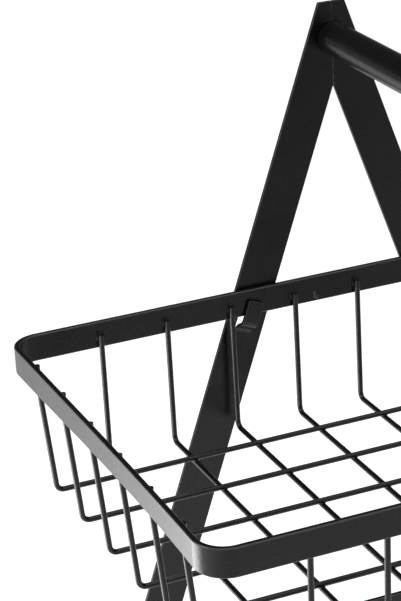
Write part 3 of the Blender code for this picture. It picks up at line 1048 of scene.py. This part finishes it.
# head outwards along +Y, with the underside of the head at the origin
def screwMesh(name, node):
    low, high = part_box(node)
    settings = fastenerSettings
    headRadius = (high.x - low.x) / 2
    underHead = legOuterY + shared["touchGap"]
    headHeight = high.y - underHead
    length = underHead - low.y
    shank = headRadius * settings["shankShare"]
    rim = headHeight * settings["headRimShare"]
    profile = [(0, headHeight)]
    for i in range(settings["domeSteps"] - 1, -1, -1):
        angle = pi / 2 * i / settings["domeSteps"]
        profile.append((headRadius * cos(angle), rim + (headHeight - rim) * sin(angle)))
    profile += [(headRadius, 0), (shank, 0), (shank, settings["chamfer"] - length)]
    profile += [(shank - settings["chamfer"], -length), (0, -length)]
    bm = turnProfile(profile, settings["sides"])
    screw = newObject(name, solidMesh(name, bm))
    depth = headHeight * settings["socketDepthShare"]
    top = headHeight + shared["touchGap"]
    place = (0, 0, top - depth / 2)
    socket = headRadius * settings["socketShare"]
    cutter = makeCutter("socket", socket, depth, place, "Z", settings["hexSides"])
    cutHoles(screw, [cutter])
    finishPiece(screw, [cutter])
    return takeMesh(screw, -pi / 2)


# chamfered hexagon nut with its bore along Y, centred on the origin
def nutMesh(node):
    low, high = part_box(node)
    thick = high.y - low.y
    settings = fastenerSettings
    half = thick / 2
    flat = settings["nutFlats"] / 2
    corner = flat / cos(pi / settings["hexSides"])
    nut = newObject("nut", solidMesh("nut", makePrism(corner, thick, settings["hexSides"])))
    outside = corner + settings["nutSpare"]
    chamfer = settings["nutChamfer"]
    cone = turnProfile([
        (0, half), (flat, half), (outside, half - chamfer),
        (outside, chamfer - half), (flat, -half), (0, -half),
    ], settings["sides"])
    limit = newObject("nutLimit", solidMesh("nutLimit", cone))
    limit.hide_render = True
    combine(nut, limit, "INTERSECT")
    bore = makeCutter("bore", settings["nutBore"], 2 * thick, (0, 0, 0), "Z")
    cutHoles(nut, [bore])
    finishPiece(nut, [bore, limit])
    return takeMesh(nut, pi / 2)


# pad, neck and bulb of a push-in foot, with its sole at the origin
def footMesh(node):
    low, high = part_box(node)
    foot = footSettings
    radius = (high.x - low.x) / 2
    pad = railLow.z - shared["touchGap"]
    shoulder = railLow.z + shared["sheet"] + shared["touchGap"]
    bulbCentre = (foot["bulbRadius"] - foot["bulbRound"], shoulder + foot["bulbRound"])
    padCentre = (radius - foot["padRound"], pad - foot["padRound"])
    soleCentre = (radius - foot["soleRound"], foot["soleRound"])
    profile = [(0, high.z), (foot["bulbTip"], high.z)]
    profile += arc(bulbCentre, foot["bulbRound"], pi / 2, 0, foot["bulbSteps"])
    profile += [(foot["bulbRadius"], shoulder), (foot["neckRadius"], shoulder), (foot["neckRadius"], pad)]
    profile += arc(padCentre, foot["padRound"], pi / 2, 0, foot["padSteps"])
    profile += arc(soleCentre, foot["soleRound"], 0, -pi / 2, foot["soleSteps"])
    ringStart, ringEnd = foot["soleRing"]
    profile += [(radius - ringStart, 0), (radius - ringEnd, foot["soleDish"]), (0, foot["soleDish"])]
    return solidMesh("foot", turnProfile(profile, fastenerSettings["sides"]))


def setAtCorners(name, tree, mesh, material, slotName, nodes, level, origin):
    boxes = [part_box(node) for node in nodes]
    xs = sorted({round((low.x + high.x) / 2, 6) for low, high in boxes})
    values = {
        "Spacing X": xs[-1] - xs[0], "Spacing Y": 2 * origin, "Middle X": (xs[0] + xs[-1]) / 2,
        "Level": level, "Count X": len(xs),
    }
    piece = growPiece(name, tree, values, materials[material], mesh)
    hand(piece, "frame", slotName, *nodes)


def nodesNamed(start):
    return sorted(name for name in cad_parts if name.startswith(start))


def buildFasteners():
    tree = makeCornerTree()
    outside = legOuterY + shared["touchGap"]
    for kind, level in (("rail", railScrewZ), ("handle", handleZ)):
        name = kind + "Screws"
        nodes = nodesNamed(kind + "_screw_")
        rear = next(node for node in nodes if "rear" in node)
        mesh = screwMesh(name, rear)
        setAtCorners(name, tree, mesh, "blackScrew", "black_screw", nodes, level, outside)
    nutLow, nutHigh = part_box("rail_nut_rear_left")
    nutY = (nutLow.y + nutHigh.y) / 2
    nuts = nodesNamed("rail_nut_")
    mesh = nutMesh(nuts[-1])
    setAtCorners("railNuts", tree, mesh, "zincSteel", "plain_steel", nuts, railScrewZ, nutY)
    feet = nodesNamed("rubber_foot_")
    footLow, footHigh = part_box("rubber_foot_rear_left")
    footY = (footLow.y + footHigh.y) / 2
    mesh = footMesh(feet[-1])
    setAtCorners("rubberFeet", tree, mesh, "blackRubber", "rubber", feet, 0.0, footY)


buildFasteners()

for node in ("handle_plug_front", "handle_plug_rear"):
    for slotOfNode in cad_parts[node].material_slots:
        slotOfNode.material = materials["zincSteel"]
print("fasteners and feet built")


# floor, light and camera

stageSettings = {
    "floorHalf": 12.0,
    "floorCuts": 4,
    "floorColour": (0.62, 0.62, 0.62, 1),
    "floorRough": 0.9,
    "floorSpecular": 0.1,
    "glow": (0.76, 0.76, 0.76, 1),   # lifts the floor to white where the lens or a glossy face sees it
    "glowMiddle": (-0.3, 0.9, 0),    # in reflections the glow is strongest round this point
    "glowSpan": (0.6, 1.8),          # and fades between these distances from it
    "glowNear": 1.7,                 # from this share of the glow
    "glowFar": 0.08,                 # to this one
    "whiteSpan": (1.0, 3.0),         # what the lens sees turns plain white between these distances
    "horizon": (0.4, 0.4, 0.4, 1),
    "skyLow": (0.04, 0.04, 0.04, 1),
    "skyHigh": (0.35, 0.35, 0.35, 1),
    "horizonSpan": (0.0, 0.14),      # upward part of the direction, from horizon to low sky
    "skySpan": (0.65, 0.95),         # and from low sky to high sky
}

lamps = {
    # name: place, aimed at, width, depth, watts
    "softAbove": ((0.15, -0.2, 1.9), (0.0, 0.0, 0.0), 2.3, 1.8, 14),
    "leftCard": ((-0.45, 0.15, 0.05), (-0.2, -0.12, 0.3), 0.3, 0.3, 1.6),
    "rightCard": ((0.8, 0.5, 0.1), (0.0, 0.1, 0.3), 0.5, 0.4, 2.0),
    "leftHigh": ((-1.4, 0.1, 1.0), (0.0, 0.0, 0.3), 1.0, 1.0, 16),
    "frontRight": ((0.9, -1.2, 1.8), (0.0, 0.0, 0.25), 1.0, 1.0, 1.5),
    "frontCard": ((0.62, -1.35, 0.88), (0.0, 0.0, 0.28), 0.8, 0.5, 3.0),
}

cameraSettings = {
    "place": (-0.52778, -0.92738, 0.79718),
    "turn": (67.2946, 2.7477, -23.4333),  # degrees
    "lens": 135.9006,                     # millimetres, as the sensor
    "sensor": 36,
    "nearest": 0.01,
}

black = (0, 0, 0, 1)
white = (1, 1, 1, 1)


def buildFloor():
    bm = bmesh.new()
    cuts = stageSettings["floorCuts"]
    bmesh.ops.create_grid(bm, x_segments=cuts, y_segments=cuts, size=stageSettings["floorHalf"])
    floor = newObject("floor", solidMesh("floor", bm))
    material = bpy.data.materials.new("paleFloor")
    material.use_nodes = True
    tree = material.node_tree
    shader = tree.nodes["Principled BSDF"]
    shader.inputs["Base Color"].default_value = stageSettings["floorColour"]
    shader.inputs["Roughness"].default_value = stageSettings["floorRough"]
    shader.inputs["Specular IOR Level"].default_value = stageSettings["floorSpecular"]
    shader.inputs["Emission Strength"].default_value = 1.0
    ray = addNode(tree, "ShaderNodeLightPath").outputs
    place = addNode(tree, "ShaderNodeTexCoord").outputs["Object"]
    away = addNode(
        tree, "ShaderNodeVectorMath", {0: place, 1: stageSettings["glowMiddle"]}, operation="DISTANCE",
    ).outputs["Value"]
    shares = (stageSettings["glowNear"], stageSettings["glowFar"])
    pool = remap(tree, away, *stageSettings["glowSpan"], *shares)
    mirrored = calc(tree, "ADD", ray["Is Glossy Ray"], ray["Is Transmission Ray"])
    seen = calc(tree, "ADD", ray["Is Camera Ray"], calc(tree, "MULTIPLY", mirrored, pool))
    glow = mixColour(tree, seen, black, stageSettings["glow"])
    distance = addNode(tree, "ShaderNodeVectorMath", {0: place}, operation="LENGTH").outputs["Value"]
    beyond = remap(tree, distance, *stageSettings["whiteSpan"], 0.0, 1.0)
    plain = calc(tree, "MULTIPLY", ray["Is Camera Ray"], beyond)
    tree.links.new(mixColour(tree, plain, glow, white), shader.inputs["Emission Color"])
    floor.data.materials.append(material)


def buildWorld():
    world = bpy.data.worlds.new("studio")
    world.use_nodes = True
    bpy.context.scene.world = world
    tree = world.node_tree
    direction = addNode(tree, "ShaderNodeTexCoord").outputs["Generated"]
    height = addNode(tree, "ShaderNodeSeparateXYZ", {0: direction}).outputs["Z"]
    lift = remap(tree, height, *stageSettings["horizonSpan"], 0.0, 1.0)
    lower = mixColour(tree, lift, stageSettings["horizon"], stageSettings["skyLow"])
    share = remap(tree, height, *stageSettings["skySpan"], 0.0, 1.0)
    sky = mixColour(tree, share, lower, stageSettings["skyHigh"])
    toLens = addNode(tree, "ShaderNodeLightPath").outputs["Is Camera Ray"]
    tree.links.new(mixColour(tree, toLens, sky, white), tree.nodes["Background"].inputs["Color"])


def addLamp(name, place, aim, width, depth, watts):
    light = bpy.data.lights.new(name, "AREA")
    light.shape = "RECTANGLE"
    light.size = width
    light.size_y = depth
    light.energy = watts
    lamp = bpy.data.objects.new(name, light)
    bpy.context.scene.collection.objects.link(lamp)
    lamp.location = place
    lamp.rotation_euler = (Vector(aim) - Vector(place)).to_track_quat("-Z", "Y").to_euler()
    lamp.visible_camera = False


def addCamera():
    lens = bpy.data.cameras.new("camera")
    lens.lens = cameraSettings["lens"]
    lens.sensor_width = cameraSettings["sensor"]
    lens.clip_start = cameraSettings["nearest"]
    camera = bpy.data.objects.new("camera", lens)
    bpy.context.scene.collection.objects.link(camera)
    camera.location = cameraSettings["place"]
    camera.rotation_euler = [radians(angle) for angle in cameraSettings["turn"]]
    bpy.context.scene.camera = camera


buildFloor()
buildWorld()
for name, values in lamps.items():
    addLamp(name, *values)
addCamera()
bpy.context.scene.view_settings.view_transform = "Standard"
print("stage set")
